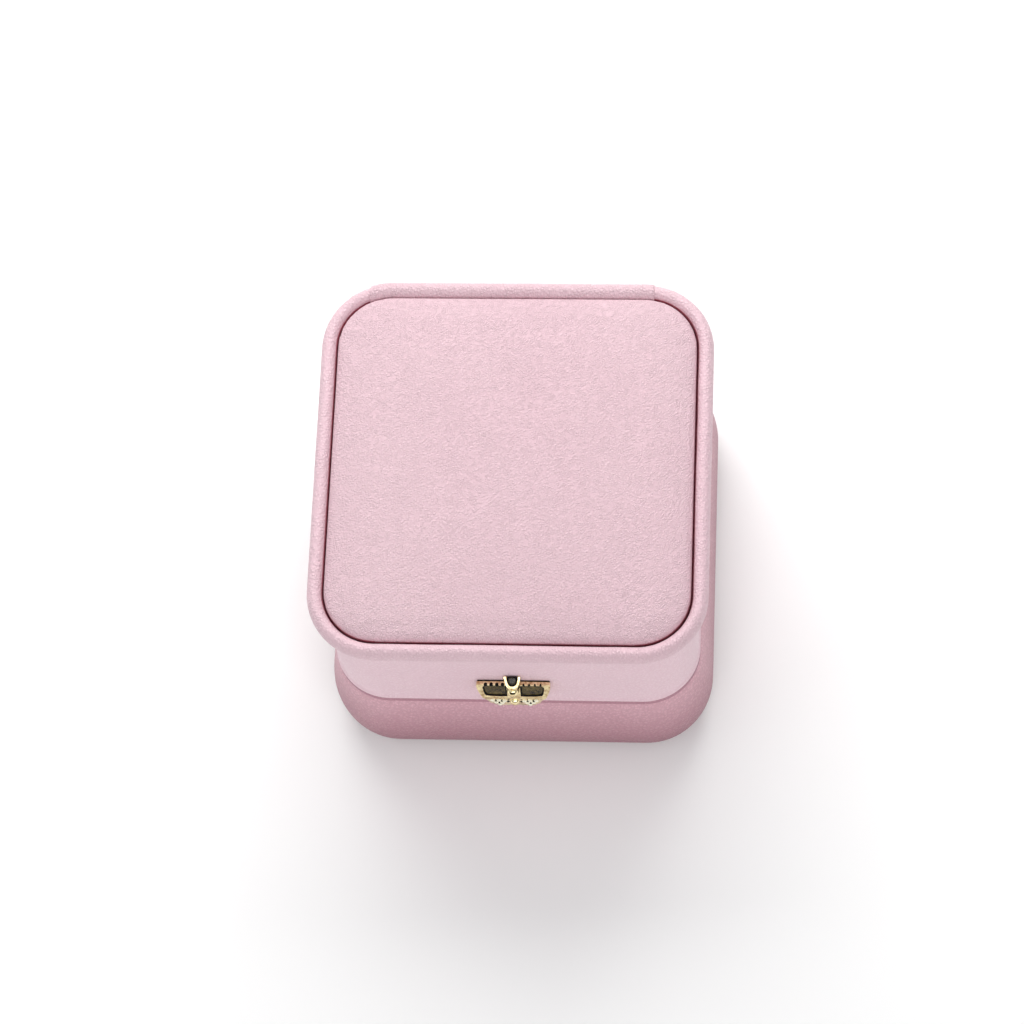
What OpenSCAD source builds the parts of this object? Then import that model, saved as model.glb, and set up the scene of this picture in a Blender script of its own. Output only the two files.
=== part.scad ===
// Small leather ring case with a rolled rim, a padded top panel, a sprung
// push-button clasp and a covered steel hinge. Millimetres. +Z is up, the
// clasp faces -Y, the origin is on the table under the middle of the case.

/* [Case] */
// width across the rolled rim
case_w = 66; // [60:0.5:80]
// depth across the rolled rim
case_d = 67; // [60:0.5:80]
// corner radius of the rolled rim
corner_r = 11.65; // [9:0.05:15]
// height of the seam between base and lid
seam_z = 21.2; // [16:0.1:26]
// height of the widest level of the rolled rim
rim_z = 47.4; // [42:0.1:56]
// width of the open seam between base and lid
seam_gap = 0.3; // [0.3:0.05:0.8]

/* [Base] */
// how far the base wall stands inside the rim at its widest level
base_in = 0.25; // [0:0.05:1]
// how far the walls stand inside the rim at the seam
seam_in = 2.3; // [1.5:0.1:3]
// height of the widest level of the base
base_wide_z = 8.2; // [5:0.1:12]
// how far the base curves in at its foot
foot_in = 2.2; // [1:0.1:5]
// leather thickness on the base
base_leather = 0.8; // [0.6:0.05:1.2]
// thickness of the felt under the base
felt_t = 0.6; // [0.4:0.1:1.5]
// thickness of the floor of the base shell
floor_t = 1.8; // [1.2:0.1:3]

/* [Lid] */
// leather thickness on the lid wall
lid_leather = 0.7; // [0.5:0.05:1.2]
// wall thickness of the lid shell
lid_wall = 1.5; // [1.2:0.1:2.5]
// half width of the rolled rim
rim_a = 1.3; // [0.9:0.05:2]
// half height of the rolled rim
rim_b = 1.9; // [1:0.05:2.5]
// groove between the rolled rim and the top panel
panel_gap = 0.35; // [0.2:0.05:1]
// height of the middle of the padded panel above the rim's widest level
crown_h = 3.3; // [1:0.1:6]
// how far the panel falls from its middle to its rounded edge
crown_drop = 0.9; // [0.2:0.1:2]

/* [Hinge] */
// how far the hinge pin's axis stands inside the rim line
axis_in = 1.5; // [1.2:0.1:2.5]
// outer radius of the knuckles
knuckle_r = 1.1; // [0.9:0.05:1.4]
// radius of the hinge pin
pin_r = 0.5; // [0.4:0.05:0.7]
// half width of the hinge leaves
leaf_w = 20; // [14:1:21]
// half width of the leather spine strip
spine_w = 24; // [18:0.1:26]
// how far the spine strip is glued off the middle
spine_x = -1.2; // [-2:0.1:2]
// leather thickness of the spine strip
spine_t = 0.3; // [0.2:0.05:1.2]

/* [Clasp] */
// how far the clasp and its catch stand off the middle
clasp_x = 0.25; // [-1:0.05:1]
// height of the button's axis
button_z = 30.8; // [26:0.1:34]
// radius of the button's ball
ball_r = 1; // [0.7:0.05:1.3]
// radius of the button's shank
shank_r = 0.5; // [0.4:0.05:0.8]
// height of the catch pin's axis
catch_z = 36.2; // [34:0.1:38]

/* [Hidden] */
$fn = 64;
ball_out = 0.45;
plate_back = 2;
body_y = (ball_out - spine_t)/2;
r = corner_r;
back_y = case_d/2 + body_y;
front_y = -case_d/2 + body_y;
zb = seam_z - seam_gap/2;
zl = seam_z + seam_gap/2;
z0 = felt_t;
z1 = felt_t + base_leather;
z2 = z1 + floor_t;
in_shell = 5.2;
in_neck = 5.6;
in_neck2 = 7.0;
in_lid = seam_in + lid_leather;
in_lid2 = in_lid + lid_wall;
lid_top = rim_z - 2.4;
neck_top = seam_z + 3;
pad_top = 20.5;
base_zs = [zb, 19.2, 16.6, 13.8, 11, base_wide_z, 5.4, 3.4, 2.1, z1];

// inset of the base's outer face at a height
function bin(z) = z >= base_wide_z
  ? base_in + (seam_in - base_in)*pow((z - base_wide_z)/(seam_z - base_wide_z), 1.5)
  : base_in + foot_in*(1 - sqrt(1 - pow(min(1, (base_wide_z - z)/(base_wide_z - z0)), 2)));

// a flat outline swept round the rounded square: x is corner_r less the inset
module ring_sweep() {
  for (k = [0:3]) {
    ho = k % 2 == 0 ? case_w/2 : case_d/2;
    hl = k % 2 == 0 ? case_d/2 - r : case_w/2 - r;
    sx = (k == 0 || k == 3) ? 1 : -1;
    sy = k < 2 ? 1 : -1;
    translate([0, body_y, 0]) rotate([0, 0, 90*k])
      translate([ho - r, hl, 0]) rotate([90, 0, 0])
        linear_extrude(2*hl) children();
    translate([sx*(case_w/2 - r), sy*(case_d/2 - r) + body_y, 0])
      rotate([0, 0, 90*k]) rotate_extrude(angle = 90) children();
  }
}

// the middle block that closes a swept plate
module middle(za, zc) {
  translate([-(case_w/2 - r), -(case_d/2 - r) + body_y, za])
    cube([case_w - 2*r, case_d - 2*r, zc - za]);
}

// a plain plate with the case's outline at an inset
module plate(inset, za, zc) {
  ring_sweep() polygon([[0, za], [r - inset, za], [r - inset, zc], [0, zc]]);
  middle(za, zc);
}

// a plain wall between two insets
module wall(ina, inb, za, zc) {
  ring_sweep() polygon([[r - inb, za], [r - ina, za], [r - ina, zc], [r - inb, zc]]);
}

// a box given by x limits, insets from the front rim line, and heights
module front_box(xa, xb, ina, inb, za, zc) {
  translate([clasp_x + xa, front_y + ina, za]) cube([xb - xa, inb - ina, zc - za]);
}

// a box given by x limits, insets from the back rim line, and heights
module back_box(xa, xb, ina, inb, za, zc) {
  translate([xa, back_y - inb, za]) cube([xb - xa, inb - ina, zc - za]);
}

// a rod along y at the front, from inset to inset
module front_rod(x, z, ina, inb, rad) {
  translate([clasp_x + x, front_y + ina, z]) rotate([-90, 0, 0])
    cylinder(r = rad, h = inb - ina);
}

// a rod along y at the back, from inset to inset
module back_rod(x, z, ina, inb, rad) {
  translate([x, back_y - inb, z]) rotate([-90, 0, 0])
    cylinder(r = rad, h = inb - ina);
}

// a rod along x on the hinge axis
module axis_rod(xa, xb, rad) {
  translate([xa, back_y - axis_in, seam_z]) rotate([0, 90, 0])
    cylinder(r = rad, h = xb - xa);
}

module base_shell() {
  color([0.16, 0.15, 0.15]) difference() {
    union() {
      ring_sweep() polygon(concat(
        [for (z = base_zs) [r - bin(z) - base_leather, z == zb ? zb - 0.15 : z]],
        [[0, z1], [0, z2], [r - in_shell, z2], [r - in_shell, zb - 0.15]]));
      middle(z1, z2);
    }
    back_box(-leaf_w - 0.3, leaf_w + 0.3, -1, 2.95, 11.7, seam_z + 1);
    axis_rod(-leaf_w - 0.3, leaf_w + 0.3, knuckle_r + 0.35);
    for (x = [-16, 0, 16]) back_rod(x, 15, 2, 6, 0.6);
  }
}

module base_wall_cover() {
  color([0.86, 0.68, 0.72]) difference() {
    ring_sweep() polygon(concat(
      [for (z = base_zs) [r - bin(z), z]],
      [[r - bin(z0 + 0.25), z0 + 0.25], [r - bin(z0), z0], [r - 9, z0], [r - 9, z1]],
      [for (i = [len(base_zs)-1:-1:0])
        [r - bin(base_zs[i]) - base_leather, base_zs[i]]]));
    back_box(-leaf_w - 0.3, leaf_w + 0.3, -1, 2.95, 11.7, seam_z + 1);
    axis_rod(-leaf_w - 0.3, leaf_w + 0.3, knuckle_r + 0.35);
  }
}

module base_bottom_board() {
  color([0.55, 0.5, 0.46]) plate(9.1, z0, z1);
}

module base_bottom_felt() {
  color([0.83, 0.7, 0.73]) plate(5, 0, z0);
}

module neck_collar() {
  color([0.72, 0.62, 0.6]) difference() {
    ring_sweep() polygon([[r - in_neck2, z2], [r - in_shell, z2],
      [r - in_shell, zb - 0.5], [r - in_neck, zb - 0.1],
      [r - in_neck, neck_top], [r - in_neck2, neck_top]]);
    for (x = [-1.5, 1.5]) front_rod(x, 18.4, 4, 8, 0.5);
  }
}

module neck_lining() {
  color([0.93, 0.86, 0.84]) difference() {
    ring_sweep() polygon([[r - 7.5, z2], [r - in_neck2, z2],
      [r - in_neck2, neck_top], [r - in_neck, neck_top],
      [r - in_neck, neck_top + 0.4], [r - 7.2, neck_top + 0.4],
      [r - 7.5, neck_top + 0.15]]);
    front_box(-3.4, 3.4, in_neck2, 8, 16, neck_top + 1);
  }
}

module insert_board() {
  color([0.5, 0.46, 0.43]) plate(7.7, z2, z2 + 1.2);
}

// a padded half of the ring cushion, shrunk by an offset
module cushion_half(s, o, zf) {
  ya = s > 0 ? body_y + 0.35 + o : front_y + 7.7 + o;
  yb = s > 0 ? back_y - 7.7 - o : body_y - 0.35 - o;
  zt = pad_top - o;
  c = 3.2 - o;
  intersection() {
    plate(7.7 + o, zf, zt);
    translate([-case_w/2, 0, 0]) rotate([90, 0, 90])
      linear_extrude(case_w) polygon(concat(
        [[ya, zf - 1], [yb, zf - 1]],
        [for (a = [0:15:90]) [yb - c + c*cos(a), zt - c + c*sin(a)]],
        [for (a = [90:15:180]) [ya + c + c*cos(a), zt - c + c*sin(a)]]));
  }
}

module pad_foam_front() {
  color([0.9, 0.88, 0.8]) cushion_half(-1, 0.5, z2 + 1.25);
}

module pad_foam_back() {
  color([0.9, 0.88, 0.8]) cushion_half(1, 0.5, z2 + 1.25);
}

module cushion_skin(s) {
  difference() {
    cushion_half(s, 0, z2 + 1.25);
    cushion_half(s, 0.5, z2);
  }
}

module pad_velvet_front() {
  color([0.95, 0.89, 0.87]) cushion_skin(-1);
}

module pad_velvet_back() {
  color([0.95, 0.89, 0.87]) cushion_skin(1);
}

module lid_shell() {
  color([0.16, 0.15, 0.15]) difference() {
    union() {
      ring_sweep() polygon([[0, lid_top], [r - in_lid, lid_top],
        [r - in_lid, zl + 0.15], [r - in_lid2, zl + 0.15],
        [r - in_lid2, lid_top - 1.6], [0, lid_top - 1.6]]);
      middle(lid_top - 1.6, lid_top);
    }
    front_rod(0, button_z, 2, 6, shank_r + 0.3);
    for (x = [-3.95, 3.95]) front_rod(x, 30.4, 2, 6, 0.5);
    for (x = [-15, -8, 8, 15]) back_rod(x, 27, 2, 6, 0.6);
  }
}

module lid_wall_cover() {
  color([0.89, 0.74, 0.78]) difference() {
    wall(seam_in, in_lid, zl, lid_top);
    back_box(-leaf_w - 0.3, leaf_w + 0.3, 1, 4, seam_z, 31.5);
    axis_rod(-leaf_w - 0.3, leaf_w + 0.3, knuckle_r + 0.35);
    front_rod(0, button_z, 1, 4, shank_r + 0.3);
    for (x = [-3.95, 3.95]) front_rod(x, 30.4, 1, 4, 0.5);
  }
}

module lid_rim_core() {
  color([0.93, 0.91, 0.87]) ring_sweep()
    translate([r - rim_a, rim_z]) circle(r = 0.7);
}

module lid_rim_cover() {
  color([0.93, 0.8, 0.84]) difference() {
    ring_sweep() polygon(concat(
      [for (a = [-70:15:215]) [r - rim_a + rim_a*cos(a), rim_z + rim_b*sin(a)]],
      [[r - 2*rim_a, lid_top + 0.75], [r - 4.4, lid_top + 0.75],
        [r - 4.4, lid_top + 0.05], [r - rim_a, lid_top + 0.05]]));
    ring_sweep() translate([r - rim_a, rim_z]) circle(r = 0.7);
  }
}

module lid_top_board() {
  color([0.5, 0.46, 0.43]) plate(3.8, lid_top + 0.8, lid_top + 1.95);
}

// the crowned body of the padded panel, shrunk by an offset
module panel_body(o, za) {
  ip = 2*rim_a + panel_gap + o;
  zt = rim_z + crown_h - o;
  ze = rim_z + 0.2 - o;
  zk = zt - crown_drop;
  c = 2.2;
  ring_sweep() polygon(concat([[0, za], [r - ip, za]],
    [for (a = [0:15:75]) [r - ip - c + c*cos(a), ze + (zk - ze)*sin(a)]],
    [[r - ip - c, zk + 0.02], [(r - ip - c)*0.66, zt - crown_drop*0.45],
      [(r - ip - c)*0.33, zt - crown_drop*0.12], [0, zt]]));
  middle(za, zt);
}

module lid_top_foam() {
  color([0.9, 0.88, 0.8]) panel_body(0.75, lid_top + 2);
}

module lid_top_cover() {
  color([0.9, 0.77, 0.81]) difference() {
    panel_body(0, lid_top + 0.8);
    panel_body(0.75, lid_top + 0.3);
  }
}

module lid_lining_wall() {
  color([0.95, 0.89, 0.87]) difference() {
    wall(in_lid2, 5.2, zl + 0.4, lid_top - 1.6);
    front_box(-5.3, 5.3, in_lid2 - 0.5, 6, seam_z, 40.4);
  }
}

module lid_lining_pad() {
  color([0.96, 0.91, 0.89]) {
    ring_sweep() polygon([[0, 41], [r - 8, 41], [r - 6.3, 41.4], [r - 5.4, 42.3],
      [r - 5.3, lid_top - 1.6], [0, lid_top - 1.6]]);
    middle(41, lid_top - 1.6);
  }
}

module hinge_base_leaf() {
  color([0.72, 0.7, 0.66]) difference() {
    union() {
      back_box(-leaf_w, leaf_w, 2.35, 2.95, 12, seam_z - 0.25);
      for (x = [-20, 12.2]) axis_rod(x, x + 7.8, knuckle_r);
    }
    axis_rod(-11.95, 11.95, knuckle_r + 0.35);
    axis_rod(-30, 30, pin_r);
    for (x = [-16, 0, 16]) back_rod(x, 15, 2, 6, 0.6);
  }
}

module hinge_lid_leaf() {
  color([0.72, 0.7, 0.66]) difference() {
    union() {
      back_box(-leaf_w, leaf_w, 2.35, 2.95, seam_z + 0.25, 31);
      for (x = [-11.7, 5.4]) axis_rod(x, x + 6.3, knuckle_r);
    }
    axis_rod(-30, -11.95, knuckle_r + 0.35);
    axis_rod(-5.2, 5.2, knuckle_r + 0.35);
    axis_rod(11.95, 30, knuckle_r + 0.35);
    axis_rod(-30, 30, pin_r + 0.05);
    for (x = [-15, -8, 8, 15]) back_rod(x, 27, 2, 6, 0.6);
  }
}

module hinge_pin() {
  color([0.8, 0.79, 0.76]) axis_rod(-leaf_w, leaf_w, pin_r);
}

module hinge_spring() {
  color([0.62, 0.63, 0.65]) {
    translate([-4.8, back_y - axis_in, seam_z]) rotate([0, 90, 0])
      rotate_extrude() polygon(concat([[pin_r + 0.08, 0]],
        [for (i = [0:31]) [i % 2 == 0 ? 0.72 : 0.98, 0.15 + i*0.3]],
        [[0.72, 9.6], [pin_r + 0.08, 9.6]]));
    back_box(-4.6, -4.2, 2.0, 2.3, 16, seam_z);
  }
}

module hinge_rivets_base() {
  color([0.78, 0.76, 0.7]) for (x = [-16, 0, 16])
    back_rod(x, 15, 2.35, in_shell, 0.6);
}

module hinge_rivets_lid() {
  color([0.78, 0.76, 0.7]) for (x = [-15, -8, 8, 15])
    back_rod(x, 27, 2.35, in_lid2, 0.6);
}

module spine_cover_base() {
  color([0.86, 0.68, 0.72]) intersection() {
    ring_sweep() polygon(concat(
      [for (z = [19.2, 16.6, 13.8, 11, base_wide_z, 5.4]) [r - bin(z), z]],
      [for (z = [5.4, base_wide_z, 11, 13.8, 16.6, 19.2]) [r - bin(z) + spine_t, z]]));
    back_box(spine_x - spine_w, spine_x + spine_w, -3, 14, 0, 30);
  }
}

module spine_cover_lid() {
  zt = rim_z + rim_b;
  color([0.91, 0.78, 0.82]) intersection() {
    ring_sweep() polygon(concat(
      [[r - seam_in, 23.4], [r - seam_in, lid_top + 0.04], [r - rim_a, lid_top + 0.04]],
      [for (a = [-70:15:80]) [r - rim_a + rim_a*cos(a), rim_z + rim_b*sin(a)]],
      [[r - rim_a, zt], [r - rim_a, zt + spine_t*0.7]],
      [for (a = [75:-25:-50]) [r - rim_a + (rim_a + spine_t)*cos(a),
        rim_z + (rim_b + spine_t*0.7)*sin(a)]],
      [[r - seam_in + spine_t, lid_top - 1], [r - seam_in + spine_t, 23.4]]));
    back_box(spine_x - spine_w, spine_x + spine_w, -3, 14, 20, 60);
  }
}

// one half of the crown outline of the clasp, in x and z, from top to foot
crown_half = [[6, 31.4], [6.2, 30.9], [6, 29.6], [5.6, 28.2], [5.35, 27.6],
  [4.4, 26], [3.7, 24.8], [2.9, 24.1], [1.9, 24], [1.3, 24.15], [0.9, 24]];

// one half of the drop-shaped stone's outline, in x and inset
drop_half = [[0.9, plate_back], [0.88, 1.5], [0.76, 1.18], [0.5, 0.92], [0.22, 0.8],
  [0, 0.77]];

// where the small stones sit on one half of the clasp, in x and z
stone_spots = [[1.65, 26.5], [2.65, 26.75], [3.7, 26.7], [2.1, 25.55],
  [3.15, 25.75], [2.55, 24.75]];

// a half outline and its mirror image in one polygon
module both_sides(half) {
  n = len(half);
  polygon(concat(half, [for (i = [n-1:-1:0]) [-half[i][0], half[i][1]]]));
}

// a flat outline in x and z, raised towards the front from inset to inset
module face(ina, inb) {
  translate([clasp_x, front_y + inb, 0]) rotate([90, 0, 0])
    linear_extrude(inb - ina) children();
}

// a plan outline in x and inset, raised from a height
module plan(z, h) {
  translate([clasp_x, front_y, z]) linear_extrude(h) children();
}

// the clasp's sloped body, with its face set back by o
module clasp_body(o) {
  translate([clasp_x - 7, front_y, 0]) rotate([90, 0, 90]) linear_extrude(14)
    polygon([[plate_back, 23], [plate_back, 31.4], [1.4 + o, 31.4], [0.4 + o, 27.6],
      [0.4 + o, 23]]);
}

// the bezel's sloping top, lowered by o
module bezel_slope(o) {
  translate([clasp_x - 7, front_y, 0]) rotate([90, 0, 90]) linear_extrude(14)
    polygon([[3, 31], [3, 34.5 - o], [0, 32.34 - o], [0, 31]]);
}

// the two window openings, from face set-back oa to set-back ob
module window_cut(oa, ob) {
  for (s = [-1, 1]) difference() {
    intersection() {
      clasp_body(oa);
      face(-1, 2) polygon([[s*1.25, 31], [s*5.5, 31],
        [s*5.6, 30.6], [s*5.4, 29.6], [s*5, 28.1], [s*1.25, 28.1]]);
    }
    clasp_body(ob);
  }
}

module clasp_plate() {
  color([0.85, 0.66, 0.36]) difference() {
    union() {
      intersection() {
        clasp_body(0);
        face(0, seam_in) both_sides(concat(crown_half, [[0, 23.9]]));
      }
      intersection() {
        plan(32, 1.8) both_sides([[1.22, plate_back], [1.2, 1.5], [1.05, 1.05],
          [0.75, 0.72], [0.35, 0.53], [0, 0.48]]);
        bezel_slope(0);
      }
      plan(31, 1.1) both_sides([[1.25, plate_back], [1.25, 1.45]]);
      translate([clasp_x, front_y + 0.6, 25.9]) sphere(r = 0.9);
    }
    window_cut(-1, 0.5);
    front_rod(0, button_z, -1, 4, ball_r + 0.1);
    for (x = [-3.95, 3.95]) front_rod(x, 30.4, 1.75, 4, 0.5);
    for (s = [-1, 1]) for (p = stone_spots) front_rod(s*p[0], p[1], -0.5, 0.8, 0.42);
    plan(32.3, 3) both_sides(drop_half);
  }
}

module clasp_inlays() {
  color([0.2, 0.16, 0.1]) window_cut(0.2, 0.5);
}

module clasp_teardrop() {
  color([0.2, 0.09, 0.07]) intersection() {
    plan(32.3, 1.5) both_sides(drop_half);
    bezel_slope(0.1);
  }
}

module clasp_stones() {
  color([0.92, 0.9, 0.88])
    for (s = [-1, 1]) for (p = stone_spots)
      translate([clasp_x + s*p[0], front_y + 0.8, p[1]]) rotate([90, 0, 0]) {
        cylinder(r = 0.42, h = 0.35, $fn = 10);
        translate([0, 0, 0.35]) cylinder(r1 = 0.42, r2 = 0.2, h = 0.22, $fn = 10);
      }
}

module clasp_rivets() {
  color([0.85, 0.66, 0.36]) for (x = [-3.95, 3.95]) {
    front_rod(x, 30.4, 1.75, 5.1, 0.5);
    front_rod(x, 30.4, 5.1, 5.5, 0.8);
  }
}

module clasp_button() {
  color([0.9, 0.72, 0.42]) difference() {
    union() {
      translate([clasp_x, front_y - ball_out + ball_r, button_z]) sphere(r = ball_r);
      front_rod(0, button_z, ball_r - ball_out, 7.85, shank_r);
    }
    translate([clasp_x, front_y - ball_out + ball_r, button_z])
      rotate([-50, 0, 0]) translate([-0.4, -ball_r - 1, -0.14])
        cube([0.8, 1.2, 0.28]);
    difference() {
      front_rod(0, button_z, 5.5, 6, 1);
      front_rod(0, button_z, 5.4, 6.1, 0.35);
    }
  }
}

module button_clip() {
  color([0.5, 0.5, 0.52]) difference() {
    front_rod(0, button_z, 5.5, 6, 1.3);
    front_rod(0, button_z, 5, 7, 0.35);
    front_box(-0.3, 0.3, 5, 7, button_z - 2, button_z);
  }
}

module catch_bracket() {
  color([0.7, 0.68, 0.64]) difference() {
    union() {
      front_box(-5, 5, in_lid2, 5.1, 27.4, 39.6);
      for (s = [-2.9, 2.3]) front_box(s, s + 0.6, 5, 11.9, 28.4, 38.2);
      front_box(-2.9, 2.9, 11.3, 11.9, 28.4, 34.4);
    }
    front_rod(0, button_z, 4, 6, shank_r + 0.1);
    for (x = [-3.95, 3.95]) front_rod(x, 30.4, 4, 6, 0.5);
    translate([clasp_x - 4, front_y + 8.6, catch_z]) rotate([0, 90, 0])
      cylinder(r = 0.5, h = 8);
  }
}

module catch_pin() {
  color([0.8, 0.79, 0.76]) translate([clasp_x - 2.9, front_y + 8.6, catch_z])
    rotate([0, 90, 0]) cylinder(r = 0.5, h = 5.8);
}

module catch_hook() {
  color([0.75, 0.73, 0.69]) difference() {
    union() {
      front_box(-1.8, 1.8, 8.1, 9.1, 21.7, catch_z);
      translate([clasp_x - 1.8, front_y + 8.6, catch_z]) rotate([0, 90, 0])
        cylinder(r = 1.1, h = 3.6);
      translate([clasp_x - 1.8, front_y, 0]) rotate([90, 0, 90]) linear_extrude(3.6)
        polygon([[7.45, 22.3], [7.45, 22], [8.1, 21.7], [8.3, 21.7], [8.3, 22.3]]);
    }
    translate([clasp_x - 4, front_y + 8.6, catch_z]) rotate([0, 90, 0])
      cylinder(r = 0.55, h = 8);
  }
}

module catch_spring() {
  color([0.62, 0.63, 0.65]) translate([clasp_x, front_y + 9.15, 31.2])
    rotate([-90, 0, 0]) rotate_extrude() polygon(concat([[0.75, 0]],
      [for (i = [0:6]) [i % 2 == 0 ? 1 : 1.35, 0.15 + i*0.3]], [[1, 2.1], [0.75, 2.1]]));
}

module keeper_spring() {
  color([0.75, 0.73, 0.69]) difference() {
    translate([clasp_x - 2.8, front_y, 0]) rotate([90, 0, 90]) linear_extrude(5.6)
      polygon([[7.0, 16.6], [7.3, 16.6], [7.3, 22.6], [7.8, 22.65], [7.8, 22.9],
        [7.0, 22.9]]);
    for (x = [-1.5, 1.5]) front_rod(x, 18.4, 6, 8, 0.5);
  }
}

module keeper_rivets() {
  color([0.78, 0.76, 0.7]) for (x = [-1.5, 1.5]) {
    front_rod(x, 18.4, in_shell, 7.3, 0.5);
    front_rod(x, 18.4, 7.3, 7.55, 0.8);
  }
}

base_shell();
base_wall_cover();
base_bottom_board();
base_bottom_felt();
neck_collar();
neck_lining();
insert_board();
pad_foam_front();
pad_foam_back();
pad_velvet_front();
pad_velvet_back();
lid_shell();
lid_wall_cover();
lid_rim_core();
lid_rim_cover();
lid_top_board();
lid_top_foam();
lid_top_cover();
lid_lining_wall();
lid_lining_pad();
hinge_base_leaf();
hinge_lid_leaf();
hinge_pin();
hinge_spring();
hinge_rivets_base();
hinge_rivets_lid();
spine_cover_base();
spine_cover_lid();
clasp_plate();
clasp_inlays();
clasp_teardrop();
clasp_stones();
clasp_rivets();
clasp_button();
button_clip();
catch_bracket();
catch_pin();
catch_hook();
catch_spring();
keeper_spring();
keeper_rivets();
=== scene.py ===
"""A small leather ring case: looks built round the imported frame, in metres."""

import math

import bmesh
import bpy
import numpy as np
from mathutils import Matrix, Vector, noise


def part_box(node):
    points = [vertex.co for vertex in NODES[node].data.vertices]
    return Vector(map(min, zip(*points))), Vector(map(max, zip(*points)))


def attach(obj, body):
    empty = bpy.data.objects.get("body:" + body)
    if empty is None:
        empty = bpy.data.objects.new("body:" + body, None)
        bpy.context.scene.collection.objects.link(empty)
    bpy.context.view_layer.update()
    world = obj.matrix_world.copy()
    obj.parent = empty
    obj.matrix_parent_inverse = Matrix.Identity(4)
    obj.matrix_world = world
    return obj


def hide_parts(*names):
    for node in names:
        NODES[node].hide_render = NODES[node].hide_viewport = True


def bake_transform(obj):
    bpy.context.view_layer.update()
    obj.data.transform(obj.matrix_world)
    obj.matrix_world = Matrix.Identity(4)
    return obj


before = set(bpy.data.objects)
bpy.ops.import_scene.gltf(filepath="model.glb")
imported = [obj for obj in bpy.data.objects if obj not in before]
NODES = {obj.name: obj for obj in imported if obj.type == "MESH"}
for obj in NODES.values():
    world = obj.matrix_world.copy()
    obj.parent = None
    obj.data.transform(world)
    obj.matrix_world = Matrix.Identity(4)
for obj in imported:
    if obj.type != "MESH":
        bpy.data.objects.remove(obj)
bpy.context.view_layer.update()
MM = 0.001

# ---- sizes, read from the frame ------------------------------------------------
_lo, _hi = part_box("lid_rim_cover")
W, D, CY = _hi.x - _lo.x, _hi.y - _lo.y, (_hi.y + _lo.y) / 2
R = 11.65 * MM                      # corner radius of the rim line
SEAM = 21.2 * MM                    # height of the parting line
WIDE_Z = 8.2 * MM                   # widest level of the base
FELT_TOP = 0.6 * MM                 # where the base's leather starts, above its felt
BASE_IN, SEAM_IN, FOOT_IN = 0.25 * MM, 2.3 * MM, 2.2 * MM   # insets: widest level, seam, foot
RIM_Z = 47.4 * MM                   # widest level of the rolled rim
RIM_A, RIM_B = 1.3 * MM, 1.9 * MM   # half width and half height of the rolled rim
LID_TOP = 45.0 * MM                 # top of the lid shell, under the rim
FRONT, BACK = CY - D / 2, CY + D / 2
PANEL_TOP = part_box("lid_top_cover")[1].z
CLASP_X = sum(v.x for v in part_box("clasp_button")) / 2
BUTTON_Z = 30.8                     # height of the button's axis, mm


def link(name, mesh):
    obj = bpy.data.objects.new(name, mesh)
    bpy.context.scene.collection.objects.link(obj)
    return obj


def mesh_from(name, verts, faces, smooth=True):
    mesh = bpy.data.meshes.new(name)
    mesh.from_pydata([tuple(v) for v in verts], [], faces)
    mesh.validate()
    if smooth:
        mesh.polygons.foreach_set("use_smooth", [True] * len(mesh.polygons))
    return link(name, mesh)


def fix_normals(obj):
    bm = bmesh.new()
    bm.from_mesh(obj.data)
    bmesh.ops.remove_doubles(bm, verts=bm.verts, dist=1e-7)
    bmesh.ops.recalc_face_normals(bm, faces=bm.faces)
    bm.to_mesh(obj.data)
    bm.free()
    return obj


def close_holes(obj, weld=None):
    """Fills the open ends of a swept form, after welding its near points if told."""
    bm = bmesh.new()
    bm.from_mesh(obj.data)
    if weld:
        bmesh.ops.remove_doubles(bm, verts=bm.verts, dist=weld)
    bmesh.ops.holes_fill(bm, edges=[e for e in bm.edges if e.is_boundary])
    bmesh.ops.recalc_face_normals(bm, faces=bm.faces)
    bm.to_mesh(obj.data)
    bm.free()
    return obj


def apply_modifiers(obj):
    dg = bpy.context.evaluated_depsgraph_get()
    dg.update()
    mesh = bpy.data.meshes.new_from_object(obj.evaluated_get(dg))
    old = obj.data
    obj.modifiers.clear()
    obj.data = mesh
    mesh.name = obj.name
    if old.users == 0:
        bpy.data.meshes.remove(old)
    return obj


def smooth(obj, angle=None):
    obj.data.polygons.foreach_set("use_smooth", [True] * len(obj.data.polygons))
    if angle is not None:
        obj.data.set_sharp_from_angle(angle=math.radians(angle))
    return obj


# ---- the case's outline --------------------------------------------------------
def outline(b, na=18, ns=34):
    """Points round the rounded square at inset b, from the right side, anticlockwise."""
    hx, hy = W / 2 - b, D / 2 - b
    rc = max(R - b, 0.15 * MM)
    rc = min(rc, max(min(hx, hy), 1e-6))
    out = []
    corners = ((1, 1), (-1, 1), (-1, -1), (1, -1))
    for k, (sx, sy) in enumerate(corners):
        cx, cy = sx * (hx - rc), sy * (hy - rc)
        for i in range(na + 1):
            a = math.radians(90 * k + 90 * i / na)
            out.append((cx + rc * math.cos(a), cy + rc * math.sin(a) + CY))
        nx, ny = corners[(k + 1) % 4]
        a = math.radians(90 * (k + 1))
        p = out[-1]
        q = (nx * (hx - rc) + rc * math.cos(a), ny * (hy - rc) + rc * math.sin(a) + CY)
        for i in range(1, ns):
            t = i / ns
            out.append((p[0] + (q[0] - p[0]) * t, p[1] + (q[1] - p[1]) * t))
    return out


def grid_faces(nu, nv, close_u, close_v):
    faces = []
    for i in range(nu if close_u else nu - 1):
        for j in range(nv if close_v else nv - 1):
            a, b = i, (i + 1) % nu
            c, d = j, (j + 1) % nv
            faces.append((a * nv + c, a * nv + d, b * nv + d, b * nv + c))
    return faces


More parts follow.
